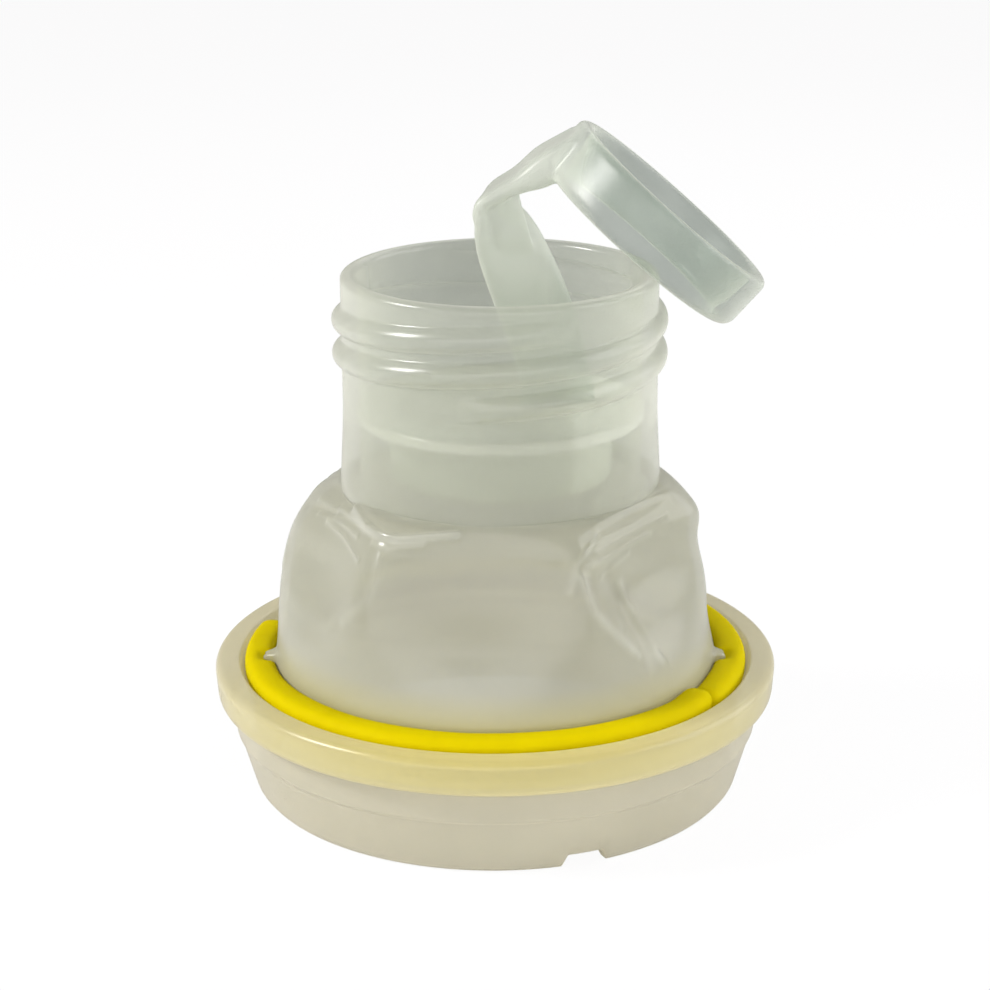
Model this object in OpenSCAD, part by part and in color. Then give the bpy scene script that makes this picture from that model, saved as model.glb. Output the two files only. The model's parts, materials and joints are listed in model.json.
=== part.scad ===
// Collapsible pull-out pour spout in soft translucent plastic.
// Frame: +Z is up along the spout's axis, the origin is the centre of the bottom edge,
// -Y is the side with the notch, and the pull ring leans towards +X. Millimetres.

/* [Flange and skirt] */
// Outer diameter of the mounting flange
flange_d = 65; // [62:0.5:70]
// Height of the flange's top above the bottom edge
flange_top = 14.7; // [14:0.1:16]
// Height of the flange's outer band
flange_band = 4.1; // [3.5:0.1:5]
// Diameter of the plug part of the skirt, just under the flange
plug_d = 60.6; // [59:0.1:61]
// Height of the plug part of the skirt
plug_h = 3.8; // [3:0.1:4.5]
// Diameter of the lower skirt just under its step
skirt_d = 60; // [58:0.1:60.5]
// Diameter of the skirt at the bottom edge
skirt_bottom_d = 56.5; // [55:0.1:58]
// Width of the notch in the bottom edge
notch_w = 5.5; // [4:0.1:8]
// Depth of the notch in the bottom edge
notch_depth = 1.3; // [0.8:0.1:2]

/* [Seal] */
// Inner radius of the sealing strip
seal_r_in = 25.65; // [25.6:0.05:25.8]
// Width of the sealing strip
seal_w = 3.4; // [3:0.1:3.4]
// Height of the sealing strip above the groove's floor
seal_h = 3.2; // [2.4:0.1:3.3]
// Depth of the groove below the flange's top
groove_depth = 2.3; // [1.8:0.1:2.6]

/* [Diaphragm] */
// Radius of the diaphragm at its root
diaphragm_r = 25.6; // [25.4:0.1:25.7]
// Wall thickness of the diaphragm
diaphragm_wall = 1.1; // [0.8:0.1:1.4]
// Radius of the diaphragm where its side turns into the shoulder
side_top_r = 23.8; // [23.4:0.1:24.2]
// Distance of each flat panel from the axis at the top of the shoulder
panel_top_r = 20.6; // [19.5:0.1:21.5]

/* [Neck] */
// Outer diameter of the neck
neck_d = 35.4; // [35:0.1:35.6]
// Inner diameter of the neck at the mouth
bore_d = 31.8; // [31.4:0.1:32]
// Height of the mouth above the bottom edge
mouth_z = 59.6; // [58:0.1:61]
// Height where the neck meets the diaphragm
neck_z = 36; // [35.5:0.1:36.5]
// Axial distance from one thread ridge to the next
thread_pitch = 3.8; // [3.4:0.1:4.2]
// How far the thread stands out of the neck
thread_height = 1; // [0.8:0.05:1.2]
// Height of one thread ridge at its root
thread_root = 2.8; // [2.2:0.1:3]

/* [Pull tab] */
// Outer diameter of the pull ring
ring_d = 27.2; // [26.6:0.1:27.4]
// Axial length of the pull ring
ring_h = 6.7; // [5.5:0.1:6.8]
// Wall thickness of the pull ring
ring_wall = 1.6; // [1.2:0.1:2]
// Lean of the pull ring's axis from vertical, towards +X
ring_lean = 41; // [40:0.5:42]
// Width of the arm between the fold and the ring
arm_w = 8; // [6:0.5:10]
// Thickness of the arm
arm_t = 1.6; // [1.2:0.1:1.8]
// Thickness of the strap
strap_t = 1.8; // [1.4:0.1:2.4]

/* [Hidden] */
$fn = 96;
eps = 0.01;
// Translucent plastic of the flange, the diaphragm, the neck and the tab, and the yellow seal
flange_colour = [0.88, 0.87, 0.74];
body_colour = [0.80, 0.81, 0.76];
neck_colour = [0.79, 0.81, 0.77];
tab_colour = [0.76, 0.79, 0.75];
seal_colour = [0.93, 0.86, 0.02];

flange_r = flange_d / 2;
plug_r = plug_d / 2;
skirt_r = skirt_d / 2;
skirt_bottom_r = skirt_bottom_d / 2;
flange_bottom = flange_top - flange_band;
plug_bottom = flange_bottom - plug_h;
skirt_wall = 1.9;
edge = 0.6;

// Groove for the seal, and the wall inside it that carries the diaphragm
groove_floor = flange_top - groove_depth;
groove_r_out = seal_r_in + seal_w + 0.03;
root_in = diaphragm_r - diaphragm_wall;
root_z = flange_top - 0.1;

// Seams of the seal, as angles counter-clockwise from +X seen from above
front_start = 163;
front_end = 328;
rear_start = 331;
rear_end = 508;
strip_round = 2;

// Lugs that hold the seal down in its groove
lug_angles = [-9, 188];
lug_r = 0.9;
lug_reach = 0.9;
lug_h = 0.9;
lug_play = 0.06;

// Notch, as an angle from +X
notch_angle = -70;
notch_slope = 0.9;

// Diaphragm: a slightly conical shell with a round shoulder, and six planes pressed into it
panel_count = 6;
panel_first = 24;
shoulder_z = 30.2;
shoulder_round = 5.2;
panel_foot_z = flange_top + 0.5;
panel_top_z = 33.6;
panel_lean = atan((diaphragm_r - panel_top_r) / (panel_top_z - panel_foot_z));

neck_r = neck_d / 2;
bore_r = bore_d / 2;
rim_round = 0.7;

// Ledge, pour tube and tear-out disc inside the neck
ledge_z = 44.4;
ledge_t = 1.2;
tube_r = 11.3;
tube_wall = 1.2;
tube_bottom = 36.4;
tear_gap = 0.15;
membrane_t = 0.9;

// Thread: two starts, each a little over one turn
thread_starts = 2;
thread_turn = 401;
thread_z = 48.4;
thread_first = -105;
thread_steps = 66;
thread_profile_steps = 6;
thread_fade = 24;
thread_bite = 0.05;

// Pull tab, as points in X and Z: the fold's pivot, the strap's hinge at its inner root
// corner, just above the disc, and the centre of the ring's front rim
fold = [0, 66.7];
strap_root = [3, ledge_z + 0.1];
strap_root_w = 7.2;
ring_centre = [19.9, 67.1];
ring_r = ring_d / 2;
knuckle_r = 1.1;
knuckle_gap = 0.25;
ring_end_round = 1.7;

function polar(r, a) = [r * cos(a), r * sin(a)];

// Closed outline of the flange, groove and skirt, from the bottom edge's inside
module base_profile() {
    polygon([
        [skirt_bottom_r - skirt_wall + 0.5, 0],
        [skirt_bottom_r - edge, 0],
        [skirt_bottom_r - 0.15, 0.2],
        [skirt_bottom_r, edge],
        [skirt_r, plug_bottom - 0.2],
        [plug_r, plug_bottom],
        [plug_r, flange_bottom],
        [flange_r - edge, flange_bottom],
        [flange_r - 0.15, flange_bottom + 0.2],
        [flange_r, flange_bottom + edge],
        [flange_r, flange_top - edge],
        [flange_r - 0.15, flange_top - 0.2],
        [flange_r - edge, flange_top],
        [groove_r_out + 1, flange_top],
        [groove_r_out + 0.2, flange_top - 1],
        [groove_r_out, groove_floor],
        [diaphragm_r, groove_floor],
        [diaphragm_r, root_z],
        [root_in, root_z],
        [root_in, flange_bottom],
        [plug_r - skirt_wall, flange_bottom],
        [skirt_r - skirt_wall, plug_bottom]
    ]);
}

// Trapezoidal cutter for the notch in the bottom edge
module notch_cutter() {
    rotate([0, 0, notch_angle])
        translate([flange_r + 2, 0, 0])
            rotate([90, 0, -90])
                linear_extrude(height = 12)
                    polygon([
                        [-notch_w / 2 - 0.3, -1],
                        [notch_w / 2 + 0.3, -1],
                        [notch_w / 2 - notch_slope, notch_depth],
                        [-notch_w / 2 + notch_slope, notch_depth]
                    ]);
}

module base_ring() {
    color(flange_colour)
        difference() {
            rotate_extrude() base_profile();
            notch_cutter();
        }
}

// Domed section of the sealing strip, flat on the groove's floor
module strip_profile() {
    intersection() {
        translate([seal_r_in, groove_floor]) square([seal_w, seal_h]);
        translate([seal_r_in + seal_w / 2, groove_floor + seal_h - strip_round])
            circle(r = strip_round, $fn = 64);
    }
    translate([seal_r_in, groove_floor]) square([seal_w, seal_h - strip_round]);
}

// One length of sealing strip between two angles, with pockets where the lugs press into it
module strip(start, end) {
    difference() {
        rotate([0, 0, start]) rotate_extrude(angle = end - start) strip_profile();
        lug_shapes(lug_r + lug_play, root_z - lug_play, seal_h);
    }
}

module seal_bead_front() {
    color(seal_colour) strip(front_start, front_end);
}

module seal_bead_rear() {
    color(seal_colour) strip(rear_start, rear_end);
}

// Half outline of the solid bell, moved inwards by inset; the inner one runs past both open ends
module bell_profile(inset) {
    run = inset > 0 ? 1 : 0;
    polygon([
        [0, root_z - run],
        [diaphragm_r - inset, root_z - run],
        [diaphragm_r - inset, root_z],
        [side_top_r - inset, shoulder_z],
        [0, shoulder_z]
    ]);
    translate([0, shoulder_z - eps]) square([side_top_r - shoulder_round, shoulder_round - inset + eps]);
    intersection() {
        translate([side_top_r - shoulder_round, shoulder_z]) circle(r = shoulder_round - inset);
        translate([0, shoulder_z - eps]) square([diaphragm_r, shoulder_round]);
    }
    translate([0, shoulder_z]) square([neck_r - inset, neck_z - shoulder_z + run]);
}

// Half-spaces that press the six panels into the bell
module panel_planes(inset) {
    for (i = [0 : panel_count - 1])
        rotate([0, 0, panel_first + i * 360 / panel_count])
            translate([diaphragm_r - inset, 0, panel_foot_z])
                rotate([0, -panel_lean, 0])
                    translate([0, -20, 0]) cube([12, 40, 30]);
}

module bell(inset) {
    difference() {
        rotate_extrude() bell_profile(inset);
        panel_planes(inset);
    }
}

// Small lugs at the diaphragm's foot that stand out over the seal
module lug_shapes(r, z, h) {
    for (a = lug_angles)
        rotate([0, 0, a]) translate([diaphragm_r - lug_r + lug_reach, 0, z]) cylinder(r = r, h = h);
}

module diaphragm() {
    color(body_colour)
        difference() {
            union() {
                bell(0);
                lug_shapes(lug_r, root_z, lug_h);
            }
            bell(diaphragm_wall);
        }
}

// Half outline of the neck's wall, with a rounded mouth
module neck_profile() {
    translate([bore_r, neck_z]) square([neck_r - bore_r, mouth_z - neck_z - rim_round]);
    translate([bore_r + rim_round, neck_z])
        square([neck_r - bore_r - 2 * rim_round, mouth_z - neck_z]);
    for (r = [neck_r - rim_round, bore_r + rim_round])
        translate([r, mouth_z - rim_round]) circle(r = rim_round);
}

module neck() {
    color(neck_colour) rotate_extrude() neck_profile();
}

// One thread ridge: a rounded section carried along a helix, fading out at both ends
function thread_rise(a) = thread_height * min(1, a / thread_fade, (thread_turn - a) / thread_fade);
function thread_point(a, u) =
    let (grow = max(0.02, thread_rise(a)))
    let (r = neck_r + thread_bite + grow * sin(180 * u))
    let (z = thread_z + a / 360 * thread_pitch * thread_starts + thread_root * (u - 0.5))
    [r * cos(a), r * sin(a), z];

module thread_ridge() {
    n = thread_profile_steps + 1;
    points = [
        for (i = [0 : thread_steps])
            for (j = [0 : n - 1])
                thread_point(thread_turn * i / thread_steps, j / (n - 1))
    ];
    sides = [
        for (i = [0 : thread_steps - 1])
            for (j = [0 : n - 1])
                [i * n + j, i * n + (j + 1) % n, (i + 1) * n + (j + 1) % n, (i + 1) * n + j]
    ];
    first_end = [[for (j = [0 : n - 1]) n - 1 - j]];
    last_end = [[for (j = [0 : n - 1]) thread_steps * n + j]];
    polyhedron(points = points, faces = concat(sides, first_end, last_end), convexity = 8);
}

module cap_thread() {
    color(neck_colour)
        for (i = [0 : thread_starts - 1])
            rotate([0, 0, thread_first + i * 360 / thread_starts]) thread_ridge();
}

// Ledge across the neck and the short tube below it
module pour_tube() {
    color(neck_colour)
        rotate_extrude() {
            translate([tube_r, ledge_z - ledge_t]) square([bore_r - tube_r, ledge_t]);
            translate([tube_r, tube_bottom]) square([tube_wall, ledge_z - tube_bottom]);
        }
}

module tear_membrane() {
    color(neck_colour)
        translate([0, 0, ledge_z - membrane_t]) cylinder(r = tube_r - tear_gap, h = membrane_t);
}

// Lays an outline drawn in X and Z across the middle plane, with a width along Y
module across(width) {
    translate([0, width / 2, 0]) rotate([90, 0, 0]) linear_extrude(height = width) children();
}

module pull_strap() {
    color(tab_colour) {
        across(strap_t)
            polygon([
                strap_root,
                [strap_root.x + strap_root_w, strap_root.y],
                [strap_root.x + strap_root_w - 1, strap_root.y + 8],
                [fold.x + 2.9, fold.y - knuckle_r],
                [fold.x - 1.6, fold.y - knuckle_r],
                [fold.x - 0.4, fold.y - 10]
            ]);
        translate([fold.x, 0, fold.y])
            rotate([90, 0, 0]) cylinder(r = knuckle_r, h = arm_w, center = true);
        across(arm_w)
            polygon([
                [fold.x - knuckle_r, fold.y],
                [fold.x + knuckle_r, fold.y],
                [fold.x + knuckle_r, fold.y - 2.2],
                [fold.x - knuckle_r, fold.y - 2.2]
            ]);
    }
}

// Point on the ring's outer wall nearest the arm, given a distance back from the front rim
function ring_side(back, r) = [
    ring_centre.x - r * cos(ring_lean) - back * sin(ring_lean),
    ring_centre.y + r * sin(ring_lean) - back * cos(ring_lean)
];

module pull_arm() {
    reach = knuckle_r + knuckle_gap;
    arm_dir = 38.5;
    front = ring_side(0.6, ring_r - 0.1);
    rear = ring_side(ring_h - 1.9, ring_r - 0.1);
    color(tab_colour)
        difference() {
            across(arm_w)
                polygon([
                    [fold.x - arm_t / 2 * sin(arm_dir), fold.y + arm_t / 2 * cos(arm_dir) + 0.6],
                    front,
                    rear,
                    [fold.x + 2.2, fold.y + 0.6],
                    [fold.x, fold.y]
                ]);
            translate([fold.x, 0, fold.y])
                rotate([90, 0, 0]) cylinder(r = reach, h = arm_w + 2, center = true);
            ring_place() translate([0, 0, -ring_h - 1]) cylinder(r = ring_r, h = ring_h + 2);
        }
}

// Outline of the ring's wall: front rim at zero, back end rounded over
module ring_profile() {
    difference() {
        translate([ring_r - ring_wall, -ring_h]) square([ring_wall, ring_h]);
        difference() {
            translate([ring_r - ring_end_round, -ring_h - eps])
                square([ring_end_round + eps, ring_end_round + eps]);
            translate([ring_r - ring_end_round, -ring_h + ring_end_round]) circle(r = ring_end_round);
        }
    }
}

// Moves a ring drawn around Z to its leaning place
module ring_place() {
    translate([ring_centre.x, 0, ring_centre.y]) rotate([0, ring_lean, 0]) children();
}

module pull_ring() {
    color(tab_colour) ring_place() rotate_extrude() ring_profile();
}

base_ring();
seal_bead_front();
seal_bead_rear();
diaphragm();
neck();
cap_thread();
pour_tube();
tear_membrane();
pull_strap();
pull_arm();
pull_ring();
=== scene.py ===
import json
import math

import bmesh
import bpy
import numpy as np
from mathutils import Matrix, Vector


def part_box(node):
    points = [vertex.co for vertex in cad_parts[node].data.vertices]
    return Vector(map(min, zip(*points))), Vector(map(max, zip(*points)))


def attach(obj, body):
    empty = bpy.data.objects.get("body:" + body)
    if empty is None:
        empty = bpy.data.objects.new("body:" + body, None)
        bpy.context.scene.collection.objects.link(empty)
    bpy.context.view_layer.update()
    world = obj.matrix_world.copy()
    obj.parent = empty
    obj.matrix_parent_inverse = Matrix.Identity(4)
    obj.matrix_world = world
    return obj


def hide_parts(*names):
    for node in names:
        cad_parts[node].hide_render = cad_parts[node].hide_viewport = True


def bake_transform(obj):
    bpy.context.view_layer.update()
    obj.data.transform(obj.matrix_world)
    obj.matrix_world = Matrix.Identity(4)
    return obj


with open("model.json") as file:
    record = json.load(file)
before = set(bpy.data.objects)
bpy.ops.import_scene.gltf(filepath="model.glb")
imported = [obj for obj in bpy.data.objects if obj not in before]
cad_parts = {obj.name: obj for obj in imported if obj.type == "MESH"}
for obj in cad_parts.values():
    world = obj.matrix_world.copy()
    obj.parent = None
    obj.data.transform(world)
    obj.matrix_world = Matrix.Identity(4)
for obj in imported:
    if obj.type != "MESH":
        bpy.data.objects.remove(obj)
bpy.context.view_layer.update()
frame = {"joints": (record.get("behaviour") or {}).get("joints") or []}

# The meshes are drawn in millimetres and scaled to metres when they are made.
MM = 0.001


def box_mm(node):
    """Lowest and highest corner of a CAD node, in millimetres."""
    low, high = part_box(node)
    return np.array(low) / MM, np.array(high) / MM


def joint_mm(name):
    """Pivot of a hinge in the record, in millimetres."""
    joint = next(j for j in frame["joints"] if j["name"] == name)
    return np.array(joint["pos_m"]) / MM


_, base_high = box_mm("base_ring")
bell_low, _ = box_mm("diaphragm")
neck_low, neck_high = box_mm("neck")
_, thread_high = box_mm("cap_thread")
tube_low, tube_high = box_mm("pour_tube")
disc_low, disc_high = box_mm("tear_membrane")
seal_low, seal_high = box_mm("seal_bead_front")

FLANGE_R = base_high[0]
FLANGE_TOP = base_high[2]
ROOT_Z = bell_low[2]  # foot of the diaphragm, on the flange's inner edge
ROOT_R = 25.6
GROOVE_FLOOR = seal_low[2]
SEAL_TOP = seal_high[2]
NECK_Z = neck_low[2]
NECK_R = neck_high[0]
MOUTH_Z = neck_high[2]
BORE_R = tube_high[0]
THREAD_CREST = thread_high[0]
LEDGE_Z = tube_high[2]
TUBE_BOTTOM = tube_low[2]
DISC_R = disc_high[0]
DISC_TOP = disc_high[2]
DISC_BOTTOM = disc_low[2]
FOLD = joint_mm("ring_hinge")
STRAP_ROOT = joint_mm("strap_hinge")


# ---------------------------------------------------------------- mesh helpers


def smoothstep(a, b, x):
    """Goes softly from 0 at a to 1 at b."""
    t = np.clip((np.asarray(x, float) - a) / (b - a), 0, 1)
    return t * t * (3 - 2 * t)


def rounded(corners, steps=6):
    """Closed outline through (x, y, radius) corners, each rounded with an arc."""
    out = []
    for i, (x, y, radius) in enumerate(corners):
        p = np.array([x, y], float)
        a = np.array(corners[i - 1][:2], float) - p
        b = np.array(corners[(i + 1) % len(corners)][:2], float) - p
        la, lb = np.linalg.norm(a), np.linalg.norm(b)
        a, b = a / la, b / lb
        half = math.acos(np.clip(a @ b, -1, 1)) / 2
        if radius <= 0 or half > 1.55:
            out.append(p)
            continue
        reach = min(radius / math.tan(half), 0.48 * la, 0.48 * lb)
        radius = reach * math.tan(half)
        centre = p + (a + b) / np.linalg.norm(a + b) * radius / math.sin(half)
        start, end = p + a * reach - centre, p + b * reach - centre
        turn = math.atan2(start[0] * end[1] - start[1] * end[0], start @ end)
        for k in range(steps + 1):
            c, s = math.cos(turn * k / steps), math.sin(turn * k / steps)
            out.append(centre + [start[0] * c - start[1] * s, start[0] * s + start[1] * c])
    return np.array(out)


def densify(outline, step):
    """Splits the long sides of a closed outline."""
    out = []
    for i, p in enumerate(outline):
        q = outline[(i + 1) % len(outline)]
        n = max(1, int(math.ceil(np.linalg.norm(q - p) / step)))
        out += [p + (q - p) * k / n for k in range(n)]
    return np.array(out)


def make_piece(name, verts, faces, smooth=True):
    """A mesh object from points in millimetres."""
    mesh = bpy.data.meshes.new(name)
    mesh.from_pydata([tuple(v * MM) for v in np.asarray(verts, float)], [], faces)
    mesh.validate()
    tidy = bmesh.new()
    tidy.from_mesh(mesh)
    bmesh.ops.remove_doubles(tidy, verts=tidy.verts, dist=1e-7)
    bmesh.ops.recalc_face_normals(tidy, faces=tidy.faces)
    tidy.to_mesh(mesh)
    tidy.free()
    mesh.polygons.foreach_set("use_smooth", [smooth] * len(mesh.polygons))
    piece = bpy.data.objects.new(name, mesh)
    bpy.context.scene.collection.objects.link(piece)
    return piece


def loop_faces(rows, cols, close_rows=True):
    """Quads of a grid whose columns close into a loop, and whose rows may."""
    faces = []
    for i in range(rows if close_rows else rows - 1):
        j = (i + 1) % rows
        for k in range(cols):
            m = (k + 1) % cols
            faces.append((i * cols + k, i * cols + m, j * cols + m, j * cols + k))
    return faces


def bar_faces(rows, cols):
    """Faces of a closed bar: its sides and its two end caps."""
    faces = loop_faces(rows, cols, close_rows=False)
    faces.append(tuple(range(cols)))
    faces.append(tuple((rows - 1) * cols + k for k in range(cols)))
    return faces


def revolve(name, outline, angles, shape=None):
    """Turns a closed (r, z) outline round Z. shape(r, z, angle) may move the points."""
    angles = np.asarray(angles)[:, None]
    r = np.broadcast_to(outline[:, 0], (len(angles), len(outline))).copy()
    z = np.broadcast_to(outline[:, 1], (len(angles), len(outline))).copy()
    if shape is not None:
        r, z = shape(r, z, angles)
    verts = np.stack([r * np.cos(angles), r * np.sin(angles), z], -1).reshape(-1, 3)
    return make_piece(name, verts, loop_faces(len(angles), len(outline)))


def turn_angles(count):
    """Angles of a full turn, the end left out."""
    return np.linspace(0, 2 * math.pi, count, endpoint=False)


# ---------------------------------------------------------------- flange and skirt

NOTCH_ANGLE = math.radians(-70)
NOTCH_HALF = 2.75
NOTCH_SLOPE = 0.9
NOTCH_DEPTH = 1.3
NOTCH_FADE = 3.4  # height over which the notch dies out
NOTCH_ARC = 0.16  # half angle with finer steps round the notch
BAND_HEIGHT = 4.1
PLUG_HEIGHT = 3.8
PLUG_R = 30.3
SKIRT_WALL = 1.9
SKIRT_TOP_R = 30.0
SKIRT_FOOT_R = 28.25
GROOVE_LIP_R = 29.7
GROOVE_WALL_R = 29.1
GROOVE_BEVEL = 0.9
BELL_SEAT_R = 24.4


def notch(r, z, angles):
    """Lifts the bottom edge where the notch is."""
    across = np.abs((angles - NOTCH_ANGLE + math.pi) % (2 * math.pi) - math.pi) * SKIRT_FOOT_R
    depth = NOTCH_DEPTH * (1 - smoothstep(NOTCH_HALF - NOTCH_SLOPE, NOTCH_HALF, across))
    keep = 1 - np.clip(z / NOTCH_FADE, 0, 1)
    return r, z + depth * keep


def build_base():
    """Flange with the seal's groove, plug band and tapered skirt, from the foot outwards and back inside."""
    band_bottom = FLANGE_TOP - BAND_HEIGHT
    plug_bottom = band_bottom - PLUG_HEIGHT
    seat = ROOT_Z + 0.15
    corners = [
        (SKIRT_FOOT_R - SKIRT_WALL, 0, 0.4),
        (SKIRT_FOOT_R - 0.45, 0, 0.8),
        (SKIRT_FOOT_R + 0.1, 0.7, 0.5),
        (SKIRT_TOP_R, plug_bottom - 0.25, 0.4),
        (PLUG_R, plug_bottom + 0.1, 0.4),
        (PLUG_R + 0.05, band_bottom, 0.45),
        (FLANGE_R - 0.3, band_bottom, 1.0),
        (FLANGE_R, FLANGE_TOP, 0.85),
        (GROOVE_LIP_R, FLANGE_TOP, 0.4),
        (GROOVE_WALL_R + 0.1, FLANGE_TOP - GROOVE_BEVEL, 0.3),
        (GROOVE_WALL_R, GROOVE_FLOOR, 0.25),
        (ROOT_R, GROOVE_FLOOR, 0.2),
        (ROOT_R, seat, 0.12),
        (BELL_SEAT_R, seat, 0.12),
        (BELL_SEAT_R, band_bottom + 0.3, 0.6),
        (PLUG_R - SKIRT_WALL, band_bottom, 0.6),
        (SKIRT_TOP_R - SKIRT_WALL, plug_bottom, 0.4),
    ]
    outline = densify(rounded(corners), 0.7)
    near = NOTCH_ANGLE + np.linspace(-NOTCH_ARC, NOTCH_ARC, 61)
    angles = np.unique(np.round(np.concatenate([turn_angles(288), near % (2 * math.pi)]), 6))
    return revolve("base_ring_moulded", outline, angles, notch)


# ---------------------------------------------------------------- sealing strips


LUGS = (-9, 188)  # angles of the diaphragm's two lugs
LUG_Z = 15.3
STRIP_R = 27.35
STRIP_HALF = 1.74
STRIP_WAVES = (2.1, 5.3, 9.7, 17)  # lengths of the strip's small unevenness
STRIP_STATIONS = 320
STRIP_SIDES = 28


def wrapped(degrees):
    """The same angle between -180 and 180 degrees."""
    return (degrees + 180) % 360 - 180


def lug_dent(r, degrees):
    """How far the diaphragm's two lugs press into the strip at a place."""
    near = sum(math.exp(-(wrapped(degrees - lug) / 3.2) ** 4) for lug in LUGS)
    return near * (1 - float(smoothstep(26.6, 27.8, r)))


def round_end(from_end):
    """Share of the full section at a distance from the nearest end of the strip."""
    inside = np.clip(from_end / (STRIP_HALF * 1.15), 0, 1)
    return np.maximum(np.sqrt(np.clip(1 - (1 - inside) ** 2, 0, 1)), 0.02)


def strip(name, start, end, lift_start, lift_end, seed):
    """A dispensed sealing strip with a round section and round ends, lying in the groove."""
    rng = np.random.default_rng(seed)
    low = GROOVE_FLOOR + 0.02
    half_high = (SEAL_TOP - low) / 2
    first, last = math.radians(start), math.radians(end)
    length = (last - first) * STRIP_R
    along = length * (0.5 - 0.5 * np.cos(np.pi * np.linspace(0, 1, STRIP_STATIONS)))
    grow = round_end(np.minimum(along, length - along))
    phases = rng.uniform(0, 2 * math.pi, len(STRIP_WAVES))
    wobble = sum(np.sin(along / wave + p) for wave, p in zip(STRIP_WAVES, phases)) / len(STRIP_WAVES)
    lift = lift_end * smoothstep(length - 6, length - 1.5, along)
    lift = lift + lift_start * (1 - smoothstep(1.5, 6, along))
    verts = []
    for i in range(STRIP_STATIONS):
        half_w = STRIP_HALF * grow[i] * (1 + 0.012 * wobble[i])
        half_h = half_high * grow[i] * (1 + 0.03 * wobble[i])
        angle = first + along[i] / STRIP_R
        for t in turn_angles(STRIP_SIDES):
            c, s = math.cos(t), math.sin(t)
            r = STRIP_R + math.copysign(abs(c) ** 0.7, c) * half_w - 0.6 * max(lift[i], 0)
            z = low + half_high + math.copysign(abs(s) ** 0.75, s) * half_h + lift[i]
            z -= lug_dent(r, math.degrees(angle)) * max(z - LUG_Z + 0.5, 0)
            verts.append((r * math.cos(angle), r * math.sin(angle), z))
    return make_piece(name, np.array(verts), bar_faces(STRIP_STATIONS, STRIP_SIDES))


# ---------------------------------------------------------------- diaphragm

BELL_WALL = 1.1
BELL_WIDE = 6.95  # how far the bell stands out beyond the neck
BELL_MID = 21.5  # height where it is widest
BELL_TALL = 14.4
BELL_POWER = 2.1
BELL_STEPS_FOOT = (18, 22)
BELL_STEPS_DOME = 76
BELL_SPOKES = 540
PANELS = 6
PANEL_FIRST = math.radians(24)
PANEL_SHARP = 30  # the higher, the harder the ridges between panels
PANEL_TOP_R = 19.15
PANEL_TOP_Z = 33.6
PANEL_SLOPE = 0.36
PANEL_DISH = 0.75
NECK_LEAN = 0.72
NECK_SIDE = 0.2
NECK_TIP = 0.012
FRONT = -90  # angle that faces the camera


def lean(z):
    """The soft bell lets the neck stand a little to the right of the flange's centre."""
    return (-0.3 * smoothstep(15, 21, z) + 0.1 * smoothstep(22, 27, z)
            + (NECK_SIDE + NECK_LEAN) * smoothstep(26, 37, z))


def tip(y, z):
    """The neck also leans a hair towards the front."""
    return NECK_TIP * y * smoothstep(28, 45, z)


def leaning(points):
    """Moves points with the leaning neck."""
    out = points.copy()
    out[..., 0] += lean(points[..., 2])
    out[..., 2] += tip(points[..., 1], points[..., 2])
    return out


def bell_ridge(z):
    """Radius of the bell along one of its ridges."""
    t = np.clip((z - BELL_MID) / BELL_TALL, 0, 1)
    upper = NECK_R + BELL_WIDE * (1 - t ** BELL_POWER) ** (1 / BELL_POWER)
    foot = ROOT_R - (NECK_R + BELL_WIDE)
    return upper + foot * np.clip((BELL_MID - z) / (BELL_MID - ROOT_Z), 0, 1) ** 1.5


BELL_MEAN_R = 22


def fold_line(z, turn, points, height, width):
    """A soft crease along a line of (angle from the front, z) points."""
    scale = math.radians(BELL_MEAN_R)
    best = np.full(z.shape, np.inf)
    for (a0, z0), (a1, z1) in zip(points, points[1:]):
        d = np.array([(a1 - a0) * scale, z1 - z0])
        px = wrapped(turn - a0) * scale
        pz = z - z0
        t = np.clip((px * d[0] + pz * d[1]) / (d @ d), 0, 1)
        best = np.minimum(best, np.hypot(px - t * d[0], pz - t * d[1]))
    return height * np.exp(-(best / width) ** 2)


# Creases that the soft wall took when it was pulled out: a line of (angle from the front, z) points, then
# how far the crease stands out of the wall and its width.
CREASES = (
    # the ridges that lead down from the front panel's corners
    (((-36, 32.5), (-34.5, 30.3), (-35.5, 27.9), (-42, 24.8)), 0.12, 0.8),
    (((31, 34.6), (22.5, 32.2), (20.5, 29.5)), 0.16, 0.5),
    (((23.9, 30.9), (27.6, 26.9), (33, 24.3), (41, 21)), 0.2, 0.55),
    (((34, 30), (45.6, 21.7)), -0.28, 1.0),
    (((40, 28.5), (49, 19.5)), 0.2, 0.6),
    # the left shoulder, and a fold low on the left
    (((-60, 34.9), (-44, 34.3), (-33, 34.2), (-14, 34.9)), 0.42, 0.45),
    (((-40, 33.4), (-33, 33.3), (-24, 33.7)), 0.15, 0.35),
    (((-86, 33.4), (-66, 34.1), (-46, 34.2)), 0.17, 0.3),
    (((-82, 32.3), (-64, 33.0), (-50, 33.0)), 0.14, 0.3),
    (((-74, 32.2), (-58, 32.0), (-44.3, 31.1)), 0.16, 0.3),
    (((-80, 22.9), (-66.5, 22.3), (-50, 23.3), (-41, 27)), 0.08, 0.9),
    # the right shoulder
    (((26, 34.2), (50, 34.2), (74, 34.6)), -0.12, 0.5),
    (((30, 32.9), (50, 33.3), (68, 33.6)), 0.1, 0.3),
    (((28, 31.6), (42, 32.0), (58, 32.3)), 0.1, 0.3),
    (((31, 30.3), (46, 31.2)), 0.12, 0.3),
    # the top edge of the front panel
    (((-30, 32.6), (-5, 33.2), (18, 32.8)), -0.12, 0.7),
)
BACK_RIDGES = (144, 204, 264)  # ridges that the photo doesn't show, as angles from the front
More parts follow.
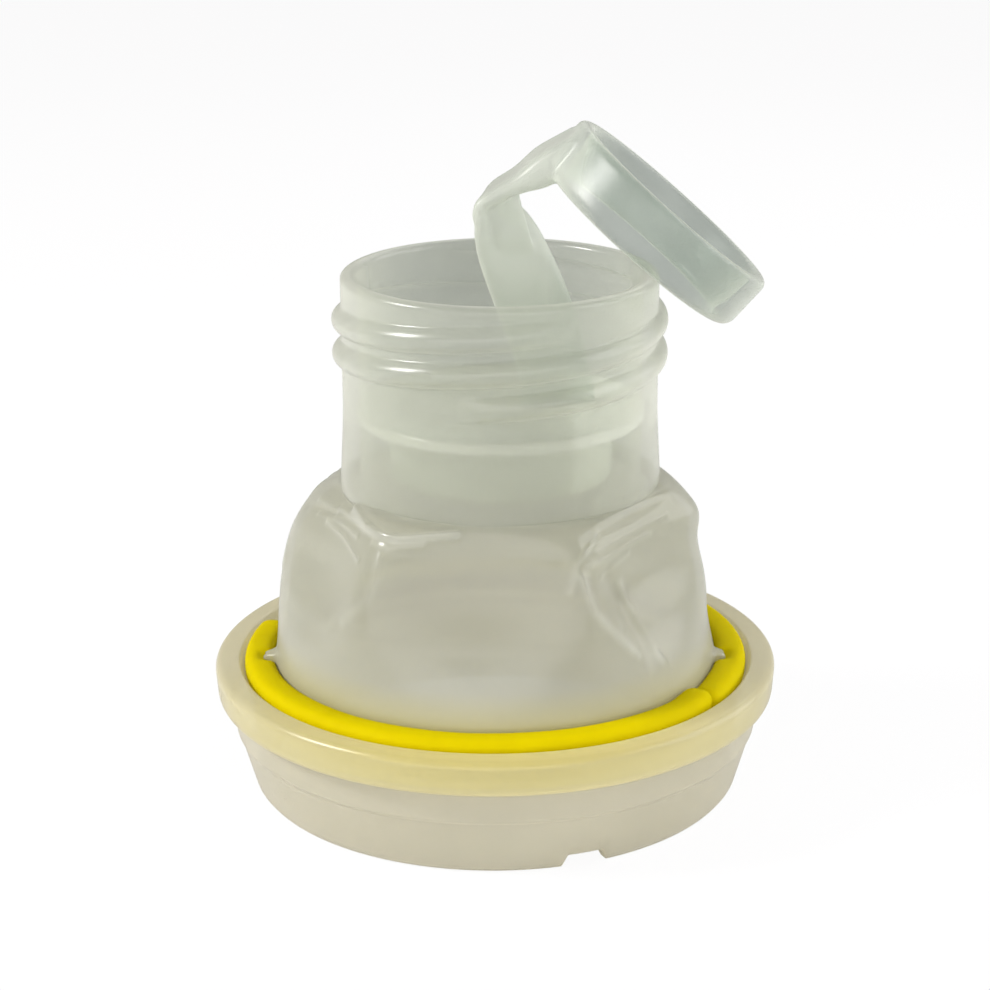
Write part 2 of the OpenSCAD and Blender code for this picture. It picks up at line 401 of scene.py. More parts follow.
BACK_CREASES = (
    (((-9, 34.2), (-3, 30), (4, 25)), 0.22, 0.7),
    (((6, 32), (24, 33.6)), -0.2, 0.6),
    (((-30, 31), (-9, 33)), 0.12, 0.4),
)
CREASE_WHITE = 0.22  # height at which a crease has turned fully white
CREASE_FADE = 1.6


def bell_creases(z, angle):
    """How far the creases stand out of the bell's skin."""
    turn = np.degrees(angle) - FRONT
    out = np.zeros(z.shape)
    for points, height, width in CREASES:
        out = out + fold_line(z, turn, points, height, width)
    for ridge_turn in BACK_RIDGES:
        for points, height, width in BACK_CREASES:
            out = out + fold_line(z, turn - ridge_turn, points, height, width)
    return out * smoothstep(17, 20, z) * (1 - smoothstep(35.2, 35.8, z))


def panelled(z, angle):
    """Radius of a round bell with six flat, slightly dished panels worn into it."""
    ridge = bell_ridge(z)
    plane = PANEL_TOP_R + PANEL_SLOPE * (PANEL_TOP_Z - z)
    total = (1.01 * ridge) ** -PANEL_SHARP
    for i in range(PANELS):
        c = np.cos(angle - PANEL_FIRST - i * 2 * math.pi / PANELS)
        dish = PANEL_DISH * np.clip((c - 0.88) / 0.12, 0, 1) ** 1.3 * np.exp(-((z - 28.3) / 4.2) ** 2)
        total = total + ((plane - dish) / np.maximum(c, 0.2)) ** -PANEL_SHARP
    faceted = total ** (-1 / PANEL_SHARP)
    share = smoothstep(ROOT_Z + 1.5, 23, z)
    return ridge * (1 - share) + faceted * share


# Soft dents and swellings of the two sides: angle from the front, z, how far out, and their spread in z.
SIDE_SWELLS = ((88, 32.2, 1.05, 2.3), (-88, 30.5, 0.45, 2.5), (-88, 35.2, -0.8, 0.9))
SWELL_ARC = 30
LUG_OUT = 1.2
LUG_HALF_ARC = 2.3
LUG_HALF_Z = 0.55


def shoulder(z):
    """How much of the wall is already the level shoulder, where a crease lifts more than it bulges."""
    return smoothstep(31, 34.5, z)


def bell_radius(z, angle):
    """Radius of the bell's outside with its swellings, creases and the two lugs."""
    r = panelled(z, angle)
    turn = np.degrees(angle) - FRONT
    for place, middle, out, spread in SIDE_SWELLS:
        r = r + out * np.exp(-((z - middle) / spread) ** 2 - (wrapped(turn - place) / SWELL_ARC) ** 2)
    r = r + bell_creases(z, angle) * (1 - 0.4 * shoulder(z))
    for lug in LUGS:
        off = wrapped(np.degrees(angle) - lug)
        ragged = 1 + 0.25 * np.sin(off * 2.6 + lug)
        r = r + LUG_OUT * ragged * np.exp(-(off / LUG_HALF_ARC) ** 4 - ((z - LUG_Z) / LUG_HALF_Z) ** 4)
    return np.maximum(r, NECK_R + 0.1)


def bell_heights():
    """Heights of the bell's rows, closer together where it turns over into the shoulder."""
    foot, rise = BELL_STEPS_FOOT
    foot_top = 16.4
    sweep = np.linspace(0, math.pi / 2, BELL_STEPS_DOME)
    dome = BELL_MID + BELL_TALL * np.sin(sweep) ** (2 / BELL_POWER)
    return np.concatenate([
        np.linspace(ROOT_Z, foot_top, foot)[:-1], np.linspace(foot_top, BELL_MID, rise)[:-1], dome])


def mark_creases(piece):
    """Stores how white each point of the bell has turned in the attribute that its material reads."""
    at = np.array([vertex.co for vertex in piece.data.vertices]) / MM
    around = np.arctan2(at[:, 1], at[:, 0] - lean(at[:, 2]))
    white = np.clip(bell_creases(at[:, 2], around) / CREASE_WHITE, 0, 1) ** CREASE_FADE
    piece.data.attributes.new("crease", "FLOAT", "POINT").data.foreach_set("value", white)


def build_bell():
    """The thin diaphragm: its outside, and an inside that is one wall further in."""
    z_line = bell_heights()
    angles = turn_angles(BELL_SPOKES)
    z = np.broadcast_to(z_line[:, None], (len(z_line), len(angles)))
    a = np.broadcast_to(angles, z.shape)
    r = bell_radius(z, a)
    raised = bell_creases(z, a) * shoulder(z)
    outer = np.stack([r * np.cos(a), r * np.sin(a), z + raised], -1)
    r_in = np.maximum(r - BELL_WALL, NECK_R - 0.9)
    drop = BELL_WALL * 0.75 * smoothstep(29, 35, z)
    inner = np.stack([r_in * np.cos(a), r_in * np.sin(a), z - drop], -1)
    grid = leaning(np.concatenate([outer, inner[::-1]], axis=0))
    piece = make_piece("diaphragm_skin", grid.reshape(-1, 3), loop_faces(len(grid), len(angles)))
    mark_creases(piece)
    return piece


# ---------------------------------------------------------------- neck with its thread

THREAD_STARTS = 2
THREAD_LEAD = 7.6
THREAD_TURN = 401  # degrees that each ridge runs
THREAD_Z = 48.4
THREAD_FIRST = -105
THREAD_ROOT = 2.9
THREAD_FADE = 30
NECK_OVERLAP = 0.9  # how far the neck goes down into the diaphragm's shoulder
NECK_FLARE = 0.42
NECK_SPOKES = 400
RIM_TALL = 0.75


def thread_height(z, angle):
    """How far the cap thread stands out of the neck at a height and an angle."""
    degrees = np.degrees(angle)
    out = np.zeros(np.broadcast(z, degrees).shape)
    for start in range(THREAD_STARTS):
        first = THREAD_FIRST + start * 360 / THREAD_STARTS
        turned = (degrees - first) % 360
        for extra in (0, 360):
            a = turned + extra
            fade = smoothstep(0, THREAD_FADE, a) * smoothstep(0, THREAD_FADE, THREAD_TURN - a)
            u = (z - THREAD_Z - a / 360 * THREAD_LEAD) / (THREAD_ROOT / 2)
            bump = np.clip(1 - np.abs(u) ** 2.2, 0, 1) ** 0.9
            out = np.maximum(out, bump * np.sqrt(fade) * (a < THREAD_TURN))
    return out * (THREAD_CREST - NECK_R)


def neck_outline():
    """Outside, round rim and bore of the neck, and how many of the points are outside."""
    foot = NECK_Z - NECK_OVERLAP
    outer_z = np.arange(foot, MOUTH_Z - 0.85, 0.17)
    flare = NECK_R + NECK_FLARE * (1 - smoothstep(NECK_Z - 1, NECK_Z + 10, outer_z)) ** 1.2
    outside = np.stack([flare, outer_z], -1)
    rim_r = (NECK_R - BORE_R) / 2
    arc = np.linspace(0, math.pi, 15)
    rim = np.stack([
        BORE_R + rim_r + rim_r * np.cos(arc),
        MOUTH_Z - RIM_TALL + RIM_TALL * np.sin(arc) ** 0.8,
    ], -1)
    inner_z = np.linspace(MOUTH_Z - 1.2, foot, 46)
    inside = np.stack([np.full(inner_z.shape, BORE_R), inner_z], -1)
    return np.concatenate([outside, rim, inside]), len(outside)


def build_neck():
    """The neck with its thread in one skin."""
    outline, outside_points = neck_outline()
    angles = turn_angles(NECK_SPOKES)[:, None]
    z = np.broadcast_to(outline[:, 1], (len(angles), len(outline)))
    lift = thread_height(z, angles)
    lift[:, outside_points:] = 0
    r = outline[:, 0] + lift
    points = leaning(np.stack([r * np.cos(angles), r * np.sin(angles), z], -1))
    return make_piece("neck_threaded", points.reshape(-1, 3), loop_faces(len(angles), len(outline)))


def lean_piece(piece):
    """Leans a finished mesh with the neck."""
    for vertex in piece.data.vertices:
        x, y, z = vertex.co / MM
        vertex.co = Vector((x + float(lean(z)), y, z + float(tip(y, z)))) * MM
    return piece


TUBE_WALL = 1.35
LEDGE_THICK = 1.3
TUBE_GAP = 0.15  # scored line between the tube and the disc
BORE_OVERLAP = 0.3


def build_tube():
    """Ledge across the bore and the short tube that hangs from it."""
    tube_r = DISC_R + TUBE_GAP
    root_r = BORE_R + BORE_OVERLAP
    corners = [
        (tube_r, TUBE_BOTTOM, 0.4),
        (tube_r + TUBE_WALL, TUBE_BOTTOM, 1.2),
        (tube_r + TUBE_WALL, LEDGE_Z - LEDGE_THICK, 0.8),
        (root_r, LEDGE_Z - LEDGE_THICK, 0.0),
        (root_r, LEDGE_Z, 0.0),
        (tube_r, LEDGE_Z, 0.25),
    ]
    outline = densify(rounded(corners, 8), 0.6)
    return lean_piece(revolve("pour_tube_wall", outline, turn_angles(200)))


def build_disc():
    """Tear-out disc, thinner towards its scored edge."""
    rings, spokes = 40, 160
    radius = np.linspace(0.15, DISC_R, rings)
    rr, aa = np.meshgrid(radius, turn_angles(spokes), indexing="ij")
    x, y = rr * np.cos(aa), rr * np.sin(aa)
    dish = 0.2 * (1 - (rr / DISC_R) ** 2)
    edge = 0.25 * smoothstep(DISC_R - 1.2, DISC_R - 0.2, rr)
    upper = np.stack([x, y, DISC_TOP - dish - edge], -1)
    lower = np.stack([x, y, DISC_BOTTOM + edge * 0.6], -1)
    grid = np.concatenate([upper, lower[::-1]], axis=0)
    return lean_piece(make_piece("tear_disc", grid.reshape(-1, 3), bar_faces(len(grid), spokes)))


# ---------------------------------------------------------------- pull tab

RING_LEAN = math.radians(41)
RING_R = 13.6
RING_H = 6.7  # height of the ring's wall
RING_SPOKES = 240
RING_FRONT = FOLD + np.array([20.1, 0, 0.62])
RING_AXIS = np.array([math.sin(RING_LEAN), 0, math.cos(RING_LEAN)])
RING_OUT = np.array([-math.cos(RING_LEAN), 0, math.sin(RING_LEAN)])


def ring_mesh():
    """Verts and faces of the pull ring's wall."""
    corners = [
        (RING_R - 1.7, 0, 0.6), (RING_R, 0, 0.8), (RING_R - 0.1, -RING_H, 3.6),
        (RING_R - 2.9, -RING_H, 0.8), (RING_R - 2.0, -RING_H + 2.4, 1.5),
    ]
    outline = densify(rounded(corners, 9), 0.35)
    side = np.cross(RING_AXIS, RING_OUT)
    verts = []
    for a in turn_angles(RING_SPOKES):
        out = math.cos(a) * RING_OUT + math.sin(a) * side
        for r, z in outline:
            verts.append(RING_FRONT + out * r + RING_AXIS * z)
    return np.array(verts), loop_faces(RING_SPOKES, len(outline))


STRAP_SIDE = 4.2  # the strap stands this far to the side of its hinge


def strap_stations():
    """Strap and arm: centre from the fold, turn of the width, half width and half thickness."""
    root = STRAP_ROOT - FOLD + np.array([STRAP_SIDE, 0, 0])
    return [
        (*(root + [0, 0, -0.25]), 14, 4.5, 1.2),
        (*(root + [-0.1, 0, 1.4]), 15, 4.2, 1.0),
        (6.3, 0, -16.5, 16, 4.1, 0.95),
        (4.45, 0, -10.9, 20, 4.3, 0.95),
        (2.35, 0, -5.6, 30, 4.3, 0.95),
        (1.2, 0, -3.0, 40, 4.25, 0.95),
        (0.2, 0, -1.1, 54, 4.1, 0.95),
        (-0.5, 0, 0.1, 70, 4.0, 0.9),
        (-0.45, 0, 0.95, 82, 3.95, 0.85),
        (0.6, 0, 1.85, 88, 3.9, 0.9),
        (2.9, 0, 3.0, 90, 3.9, 1.15),
        (5.9, 0, 4.65, 90, 4.3, 1.85),
        (9.6, 0, 7.4, 90, 4.4, 1.2),
    ]


def web_stations():
    """A fold of the strap that runs up under the arm."""
    return [
        (2.6, 0.1, -6.6, 24, 2.4, 0.4),
        (2.0, -1.2, -3.0, 30, 2.2, 0.6),
        (1.5, -1.7, -0.4, 38, 2.1, 0.7),
        (1.4, -1.7, 1.4, 48, 2.0, 0.6),
    ]


LOFT_STEPS = 10
LOFT_SIDES = 32


def catmull(points, per):
    """A smooth curve through rows of numbers."""
    points = np.array(points, float)
    padded = np.concatenate([[2 * points[0] - points[1]], points, [2 * points[-1] - points[-2]]])
    out = []
    for i in range(1, len(padded) - 2):
        p0, p1, p2, p3 = padded[i - 1:i + 3]
        for k in range(per):
            t = k / per
            out.append(0.5 * (2 * p1 + (p2 - p0) * t + (2 * p0 - 5 * p1 + 4 * p2 - p3) * t * t
                              + (3 * p1 - p0 - 3 * p2 + p3) * t ** 3))
    out.append(points[-1])
    return np.array(out)


def loft(stations):
    """Verts and faces of a twisted flat bar through its stations."""
    path = catmull(stations, LOFT_STEPS)
    path[:, :3] += FOLD
    tangent = np.gradient(path[:, :3], axis=0)
    tangent /= np.linalg.norm(tangent, axis=1, keepdims=True)
    verts = []
    for row, t in zip(path, tangent):
        turn = math.radians(row[3])
        width = np.array([math.cos(turn), math.sin(turn), 0])
        width = width - t * (width @ t)
        width /= np.linalg.norm(width)
        thick = np.cross(t, width)
        for a in turn_angles(LOFT_SIDES):
            c, s = math.cos(a), math.sin(a)
            u = math.copysign(abs(c) ** 0.35, c) * row[4]
            v = math.copysign(abs(s) ** 0.6, s) * row[5]
            verts.append(row[:3] + width * u + thick * v)
    return np.array(verts), bar_faces(len(path), LOFT_SIDES)


def apply_modifier(piece, kind, **settings):
    """Replaces a piece's mesh with what a modifier makes of it."""
    modifier = piece.modifiers.new(kind.lower(), kind)
    for key, value in settings.items():
        setattr(modifier, key, value)
    depsgraph = bpy.context.evaluated_depsgraph_get()
    mesh = bpy.data.meshes.new_from_object(piece.evaluated_get(depsgraph))
    piece.modifiers.clear()
    old = piece.data
    piece.data = mesh
    bpy.data.meshes.remove(old)


TAB_VOXEL = 0.22
TAB_SMOOTHING = 12


def build_tab():
    """Strap, arm and ring as one skin, with soft fillets where they meet."""
    verts, faces = np.zeros((0, 3)), []
    for part_v, part_f in (ring_mesh(), loft(strap_stations()), loft(web_stations())):
        faces += [tuple(i + len(verts) for i in f) for f in part_f]
        verts = np.concatenate([verts, part_v])
    piece = make_piece("pull_tab", verts, faces)
    apply_modifier(piece, "REMESH", mode="VOXEL", voxel_size=TAB_VOXEL * MM, use_smooth_shade=True)
    apply_modifier(piece, "SMOOTH", factor=0.5, iterations=TAB_SMOOTHING)
    piece.data.polygons.foreach_set("use_smooth", [True] * len(piece.data.polygons))
    return piece


# ---------------------------------------------------------------- materials


class Nodes:
    """Short way to write a node tree."""

    def __init__(self, name):
        self.material = bpy.data.materials.new(name)
        self.material.use_nodes = True
        self.tree = self.material.node_tree
        self.tree.nodes.clear()

    def add(self, kind, inputs=None, **settings):
        node = self.tree.nodes.new(kind)
        for key, value in settings.items():
            setattr(node, key, value)
        for key, value in (inputs or {}).items():
            socket = node.inputs[key]
            if isinstance(value, bpy.types.NodeSocket):
                self.tree.links.new(value, socket)
            else:
                socket.default_value = value
        return node

    def math(self, operation, a, b=0.0, clamp=False):
        node = self.add("ShaderNodeMath", {0: a, 1: b}, operation=operation, use_clamp=clamp)
        return node.outputs[0]

    def object_place(self):
        return self.add("ShaderNodeTexCoord").outputs["Object"]

    def noise(self, place, scale, detail):
        inputs = {"Vector": place, "Scale": scale, "Detail": detail, "Roughness": 0.5}
        return self.add("ShaderNodeTexNoise", inputs).outputs[0]

    def axis(self, place, index):
        return self.add("ShaderNodeSeparateXYZ", {"Vector": place}).outputs[index]

    def ramp(self, value, start, end):
        """Straight ramp from 0 at start to 1 at end, both in millimetres, of a length in metres."""
        from_start = self.math("SUBTRACT", value, start * MM)
        return self.math("DIVIDE", from_start, (end - start) * MM, clamp=True)

    def mix(self, share, a, b):
        return self.add("ShaderNodeMixShader", {0: share, 1: a, 2: b}).outputs[0]

    def colour(self, share, a, b):
        node = self.add("ShaderNodeMix", data_type="RGBA")
        for socket, value in zip((node.inputs[0], node.inputs[6], node.inputs[7]), (share, a, b)):
            if isinstance(value, bpy.types.NodeSocket):
                self.tree.links.new(value, socket)
            else:
                socket.default_value = value
        return node.outputs[2]


def rgb(r, g, b):
    """Linear colour from display values of 0 to 255."""
    def linear(v):
        v /= 255
        return v / 12.92 if v <= 0.04045 else ((v + 0.055) / 1.055) ** 2.4
    return (linear(r), linear(g), linear(b), 1)


def times(colour, factor):
    """A colour made darker or lighter."""
    return tuple(min(1, c * factor) for c in colour[:3]) + (1,)


WAVINESS = 0.12
CLOUD_SCALE = 130
GRAIN_SCALE = 420
DRAWN_SCALE = 520
DRAWN_STRETCH = 0.08
CLOUD_TINT = 0.025
CREASE_SHARE = 0.23
# Painted shade: how much darker the plastic is painted at its outline.
PAINTED_RIM_SHADE_SHARE = 0.55
GLOW_SHARE = 0.45
# Painted glow: the yellow that stands in for the seal's light shining through the plastic around it.
PAINTED_SEAL_GLOW_TINT = rgb(236, 222, 108)
# Painted highlight: the near-white tint of a band down the tube's right side.
TUBE_HIGHLIGHT_TINT = (1, 1, 0.96, 1)
STRESS_TINT = rgb(236, 238, 236)


def plastic_bump(n, place, cloud, grain, drawn):
    """Slight waviness of moulded plastic, with pull lines where it was drawn."""
    height = n.math("ADD", cloud, n.math("MULTIPLY", grain, 0.03))
    if drawn:
        pulled = n.add("ShaderNodeMapping", {"Vector": place, "Scale": (1, 1, DRAWN_STRETCH)}).outputs[0]
        height = n.math("ADD", height, n.math("MULTIPLY", n.noise(pulled, DRAWN_SCALE, 1), 0.3))
    bump = n.add("ShaderNodeBump", {"Height": height, "Strength": WAVINESS, "Distance": 0.0006})
    return bump.outputs[0]


def plastic_gloss(n, facing, cloud, bump, rough, body):
    """Lays a soft reflection over the outside of the plastic."""
    rough_here = n.math("ADD", rough - 0.04, n.math("MULTIPLY", cloud, 0.08))
    gloss = n.add("ShaderNodeBsdfGlossy", {"Roughness": rough_here, "Normal": bump}).outputs[0]
    outside = n.math("SUBTRACT", 1.0, n.add("ShaderNodeNewGeometry").outputs["Backfacing"])
    mirror = n.math("ADD", 0.045, n.math("MULTIPLY", n.math("POWER", facing, 4.0), 0.3))
    return n.mix(n.math("MULTIPLY", mirror, outside), body, gloss)


def soft_plastic(name, milk, see, dim, rough=0.24, seed=0.0, painted_light=None, painted_light_tint=PAINTED_SEAL_GLOW_TINT, clearer=None,
                 drawn=False, creased=False):
    """Milky translucent polyethylene: part scatters light, part lets it straight through.

    milk is the haze's colour, see the share that goes straight through and dim what that light loses.
    painted_light and clearer are functions that say where the haze takes painted_light_tint, a colour that
    stands in for light, and where it thins.
    """
    n = Nodes(name)
    place = n.object_place()
    shifted = n.add("ShaderNodeMapping", {"Vector": place, "Location": (seed, seed * 0.7, 0)}).outputs[0]
    cloud = n.noise(shifted, CLOUD_SCALE, 3)
    grain = n.noise(shifted, GRAIN_SCALE, 2)
    facing = n.add("ShaderNodeLayerWeight", {"Blend": 0.5}).outputs["Facing"]
    bump = plastic_bump(n, place, cloud, grain, drawn)
    tint = n.colour(cloud, times(milk, 1 - CLOUD_TINT), times(milk, 1 + CLOUD_TINT))
    # Painted light: a colour mixed into the haze that stands in for light, the seal's yellow glow and the
    # tube's highlight.
    if painted_light is not None:
        tint = n.colour(painted_light(n, place), tint, painted_light_tint)
    if creased:
        crease = n.add("ShaderNodeAttribute", attribute_name="crease").outputs["Fac"]
        white = n.math("MULTIPLY", crease, CREASE_SHARE)
        tint = n.colour(white, tint, STRESS_TINT)
        see = n.math("MULTIPLY", n.math("SUBTRACT", 1.0, white), see)
    # Painted shade: the haze turns darker towards the outline, where the plastic is seen edge on, standing
    # in for the dark rim that refraction gives.
    edge = n.math("MULTIPLY", n.math("POWER", facing, 9.0), PAINTED_RIM_SHADE_SHARE)
    tint = n.colour(edge, tint, times(milk, 0.4))
    diffuse = n.add("ShaderNodeBsdfDiffuse", {"Color": tint, "Normal": bump}).outputs[0]
    glow = n.add("ShaderNodeBsdfTranslucent", {"Color": tint, "Normal": bump}).outputs[0]
    through = n.add("ShaderNodeBsdfTransparent", {"Color": dim}).outputs[0]
    if clearer is not None:
        see = n.math("ADD", see, clearer(n, place))
    share = n.math("MULTIPLY", n.math("SUBTRACT", 1.0, n.math("POWER", facing, 2.5)), see)
    body = n.mix(share, n.mix(GLOW_SHARE, diffuse, glow), through)
    skin = plastic_gloss(n, facing, cloud, bump, rough, body)
    n.add("ShaderNodeOutputMaterial", {"Surface": skin})
    return n.material


def painted_seal_glow(n, place):
    """How much painted yellow glow the plastic gets near the seal, standing in for the seal's light shining
    through it, most of it at the front.
    """
    z = n.axis(place, 2)
    up = n.ramp(z, FLANGE_TOP - 5.0, FLANGE_TOP - 2.8)
    down = n.ramp(z, FLANGE_TOP + 4.5, FLANGE_TOP)
    front = n.ramp(n.axis(place, 1), -5, -32)
    amount = n.math("ADD", 0.14, n.math("MULTIPLY", front, 0.46))
    return n.math("MULTIPLY", n.math("MULTIPLY", up, down), amount)


def in_ring(n, place):
    """The ring's thin wall is clearer than the strap."""
    return n.math("MULTIPLY", n.ramp(n.axis(place, 0), 6, 11), 0.53)


def in_bore(n, place):
    """The neck's inner face adds less haze than its outer one."""
    off = n.math("SUBTRACT", n.axis(place, 0), (NECK_SIDE + NECK_LEAN) * MM)
    y = n.axis(place, 1)
    r = n.math("SQRT", n.math("ADD", n.math("MULTIPLY", off, off), n.math("MULTIPLY", y, y)))
    middle = (BORE_R + NECK_R) / 2
    return n.math("MULTIPLY", n.ramp(r, middle + 0.2, middle - 0.2), 0.25)


def at_foot(n, place):
    """The diaphragm is hazier towards its foot."""
    return n.math("MULTIPLY", n.ramp(n.axis(place, 2), 24, 16), -0.22)


def tube_painted_highlight(n, place):
    """Painted highlight: a lighter band down the tube's right side, standing in for the reflection of the
    light on the right.
    """
    return n.ramp(n.axis(place, 0), 8.2, 9.1)


def seal_rubber():
    """Bright yellow soft sealing compound."""
    n = Nodes("seal_compound")
    place = n.object_place()
    cloud = n.noise(place, 260, 3)
    grain = n.noise(place, 1500, 2)
    tint = n.colour(cloud, rgb(184, 167, 0), rgb(196, 179, 0))
    height = n.math("ADD", cloud, n.math("MULTIPLY", grain, 0.15))
    bump = n.add("ShaderNodeBump", {"Height": height, "Strength": 0.2, "Distance": 0.0003}).outputs[0]
    skin = n.add("ShaderNodeBsdfPrincipled", {
        "Base Color": tint, "Roughness": 0.62, "Normal": bump, "Specular IOR Level": 0.02,
        "Subsurface Weight": 0.25, "Subsurface Scale": 1.0,
        "Subsurface Radius": (0.0012, 0.0010, 0.0002),
    }).outputs[0]
    n.add("ShaderNodeOutputMaterial", {"Surface": skin})
    return n.material


THROUGH_LEVEL = 0.4  # brightness of floor and backdrop when they are seen through the plastic
FLOOR_WHITE = 0.92  # share of even white in the floor; the rest takes light and shadow


def floor_paint():
    """Matt white paper that keeps faint shadows; dimmer when seen through the plastic."""
    n = Nodes("floor_paint")
    cloud = n.noise(n.object_place(), 6, 2)
    tint = n.colour(cloud, (0.86, 0.86, 0.86, 1), (0.88, 0.88, 0.88, 1))
    matt = n.add("ShaderNodeBsdfDiffuse", {"Color": tint}).outputs[0]
    path = n.add("ShaderNodeLightPath")
    direct = n.math("LESS_THAN", path.outputs["Transparent Depth"], 0.5)
    level = n.math("ADD", THROUGH_LEVEL, n.math("MULTIPLY", direct, 1.0 - THROUGH_LEVEL))
    lit = n.add("ShaderNodeEmission", {"Color": (1, 1, 1, 1), "Strength": level}).outputs[0]
    seen = n.mix(FLOOR_WHITE, matt, lit)
    skin = n.mix(path.outputs["Is Camera Ray"], matt, seen)
    n.add("ShaderNodeOutputMaterial", {"Surface": skin})
    return n.material


# ---------------------------------------------------------------- stage

CAMERA_TARGET = Vector((0.09, 0, 33.42)) * MM
CAMERA_DISTANCE = 260 * MM
CAMERA_PITCH = math.radians(17.99)
CAMERA_ROLL = math.radians(-0.29)
CAMERA_LENS = 82.7
SENSOR = 36
SKY_FRONT = 0.6
SKY_BACK = 0.26
MIDDLE = (0, 0, 0.035)
KEY_COLOUR = (1.0, 0.985, 0.965)
FRONT_COLOUR = (1.0, 0.99, 0.97)
WHITE = (1, 1, 1)


def build_camera():
    """Camera at the photograph's angle, looking down a little and rolled by a hair."""
    data = bpy.data.cameras.new("camera")
    data.lens = CAMERA_LENS
    data.sensor_width = SENSOR
    data.clip_start = 0.01
    camera = bpy.data.objects.new("camera", data)
    bpy.context.scene.collection.objects.link(camera)
    back = Vector((0, -math.cos(CAMERA_PITCH), math.sin(CAMERA_PITCH)))
    up = Vector((0, math.sin(CAMERA_PITCH), math.cos(CAMERA_PITCH)))
    right = Vector((1, 0, 0))
    c, s = math.cos(CAMERA_ROLL), math.sin(CAMERA_ROLL)
    turned_right, turned_up = c * right + s * up, c * up - s * right
    axes = Matrix((turned_right, turned_up, back)).transposed().to_4x4()
    camera.matrix_world = Matrix.Translation(CAMERA_TARGET + back * CAMERA_DISTANCE) @ axes
    bpy.context.scene.camera = camera


def area_light(name, place, size, power, colour=WHITE):
    """A soft light that points at the middle of the object."""
    data = bpy.data.lights.new(name, "AREA")
    data.shape = "RECTANGLE"
    data.size, data.size_y = size
    data.energy = power
    data.color = colour
    light = bpy.data.objects.new(name, data)
    bpy.context.scene.collection.objects.link(light)
    light.location = place
    light.rotation_euler = (Vector(MIDDLE) - Vector(place)).to_track_quat("-Z", "Y").to_euler()


def studio_world():
    """White backdrop for the camera, and a room that is brighter in front than behind."""
    world = bpy.data.worlds.new("studio")
    world.use_nodes = True
    tree = world.node_tree
    tree.nodes.clear()

    def add(kind, **settings):
        node = tree.nodes.new(kind)
        for key, value in settings.items():
            setattr(node, key, value)
        return node

    def link(a, b):
        tree.links.new(a, b)

    def map_range(value, start, at_start, at_one):
        """Goes from at_start at the value start to at_one at the value 1."""
        node = add("ShaderNodeMapRange")
        link(value, node.inputs["Value"])
        node.inputs["From Min"].default_value = start
        node.inputs["To Min"].default_value = at_start
        node.inputs["To Max"].default_value = at_one
        return node

    split = add("ShaderNodeSeparateXYZ")
    link(add("ShaderNodeTexCoord").outputs["Generated"], split.inputs[0])
    room = map_range(split.outputs[1], -1, SKY_FRONT, SKY_BACK)
    path = add("ShaderNodeLightPath")
    through = map_range(path.outputs["Transparent Depth"], 0, 1.0, THROUGH_LEVEL)
    choose = add("ShaderNodeMix")
    link(path.outputs["Is Camera Ray"], choose.inputs[0])
    link(room.outputs[0], choose.inputs[2])
    link(through.outputs[0], choose.inputs[3])
    background = add("ShaderNodeBackground")
    link(choose.outputs[0], background.inputs["Strength"])
    link(background.outputs[0], add("ShaderNodeOutputWorld").inputs[0])
    background.inputs["Color"].default_value = (1, 1, 1, 1)
    return world


def build_stage():
    """Lights, backdrop and floor."""
    scene = bpy.context.scene
    scene.view_settings.view_transform = "Standard"
    scene.cycles.transparent_max_bounces = 40
    scene.cycles.max_bounces = 8
    scene.cycles.denoising_input_passes = "RGB_ALBEDO"
    scene.world = studio_world()
    area_light("key", (-0.44, -0.085, 0.35), (0.15, 0.15), 2.75, KEY_COLOUR)
    area_light("fill", (0.42, 0.02, 0.24), (0.5, 0.4), 1.9)
    area_light("front", (0, -0.48, 0.10), (1.2, 0.35), 2.6, FRONT_COLOUR)
    area_light("rear", (0.1, 0.4, 0.35), (0.3, 0.2), 0.35)
    bpy.ops.mesh.primitive_plane_add(size=3)
    floor = bpy.context.object
    floor.name = "floor"
    floor.data.materials.append(floor_paint())


# ---------------------------------------------------------------- assembly


def finish_piece(piece, material, body, *nodes, slot):
    """Gives a piece its material and its body, and hides the CAD nodes that it stands for."""
    piece.data.materials.clear()
    piece.data.materials.append(material)
    if body is not None:
        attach(piece, body)
    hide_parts(*nodes)


def place_base():
    """The flange and skirt, with the seal's yellow glow painted into the plastic."""
    plastic = soft_plastic(
        "flange_plastic", rgb(216, 212, 196), 0.38, rgb(242, 240, 228), rough=0.3, seed=0.1, painted_light=painted_seal_glow)
    finish_piece(build_base(), plastic, "base", "base_ring", slot="flange_plastic")


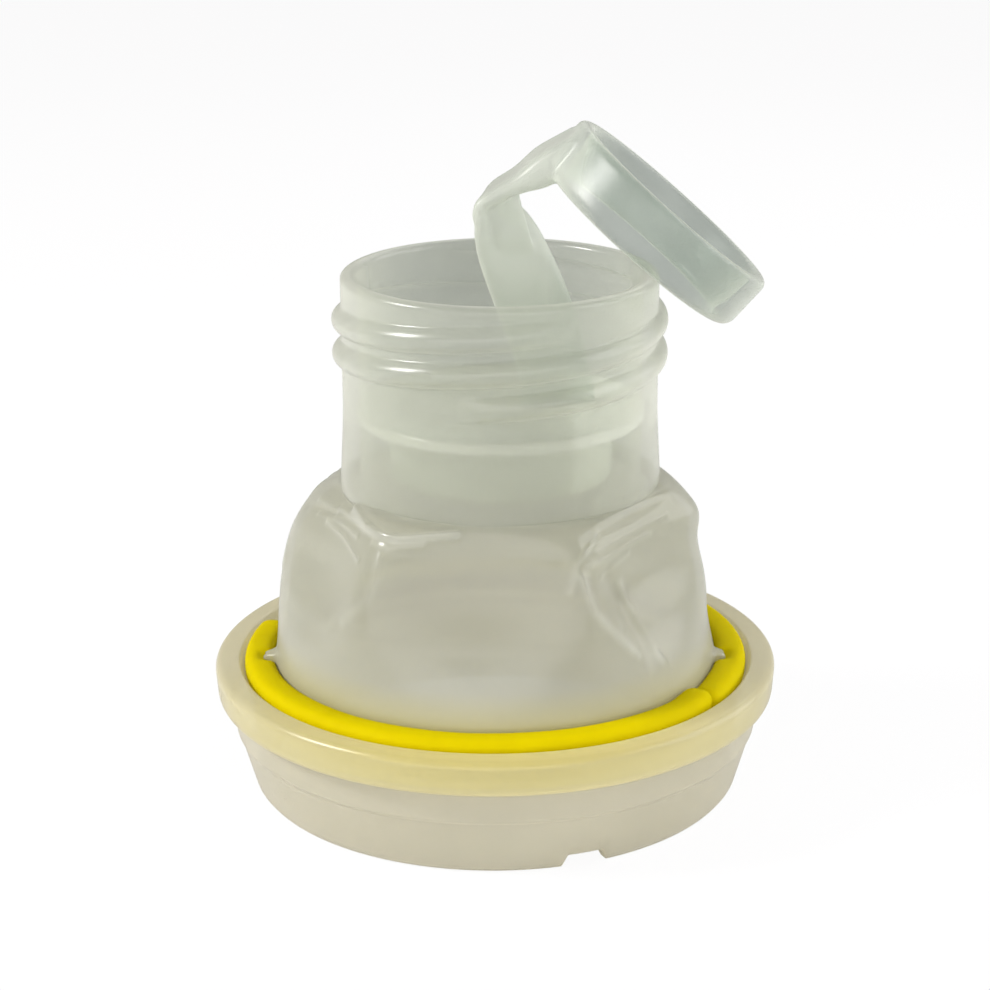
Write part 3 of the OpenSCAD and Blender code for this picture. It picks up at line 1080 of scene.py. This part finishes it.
def place_seal():
    """Two strips that meet at a seam on the right."""
    seal = seal_rubber()
    front = strip("seal_strip_front", 162, 328.5, 0.0, 0.3, seed=11)
    finish_piece(front, seal, "base", "seal_bead_front", slot="seal")
    rear = strip("seal_strip_rear", 326.5, 509, -0.35, 0.0, seed=12)
    finish_piece(rear, seal, "base", "seal_bead_rear", slot="seal")


def place_bell():
    """The diaphragm stretches between the flange and the neck."""
    # The bell's lower part gets the same painted yellow glow from the seal.
    plastic = soft_plastic(
        "bell_plastic", rgb(200, 200, 191), 0.6, rgb(240, 240, 228), seed=0.3, painted_light=painted_seal_glow,
        clearer=at_foot, creased=True)
    bell = build_bell()
    finish_piece(bell, plastic, None, "diaphragm", slot="body_plastic")
    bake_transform(bell)


def place_neck():
    """Neck and tube move together; the disc can leave them."""
    neck_plastic = soft_plastic(
        "neck_plastic", rgb(210, 210, 200), 0.66, rgb(239, 242, 238), seed=0.5, clearer=in_bore)
    # The tube and disc take a lighter copy of the neck's plastic, painted light for the light that reaches
    # them through the neck, with a painted highlight down the tube's right side.
    tube_plastic_painted_lighter = soft_plastic(
        "tube_plastic_painted_lighter", rgb(226, 227, 217), 0.34, rgb(242, 243, 238), seed=0.6, painted_light=tube_painted_highlight,
        painted_light_tint=TUBE_HIGHLIGHT_TINT)
    finish_piece(build_neck(), neck_plastic, "neck", "neck", "cap_thread", slot="neck_plastic")
    finish_piece(build_tube(), tube_plastic_painted_lighter, "neck", "pour_tube", slot="neck_plastic")
    finish_piece(build_disc(), tube_plastic_painted_lighter, "disc", "tear_membrane", slot="neck_plastic")


def place_tab():
    """Strap, arm and ring in one piece, shaped with its bend at the fold."""
    plastic = soft_plastic(
        "tab_plastic", rgb(210, 212, 203), 0.4, rgb(238, 243, 239), rough=0.38, seed=0.7, clearer=in_ring,
        drawn=True)
    tab = build_tab()
    finish_piece(tab, plastic, None, "pull_strap", "pull_arm", "pull_ring", slot="tab_plastic")
    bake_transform(tab)


place_base()
place_seal()
place_bell()
place_neck()
place_tab()
build_stage()
build_camera()
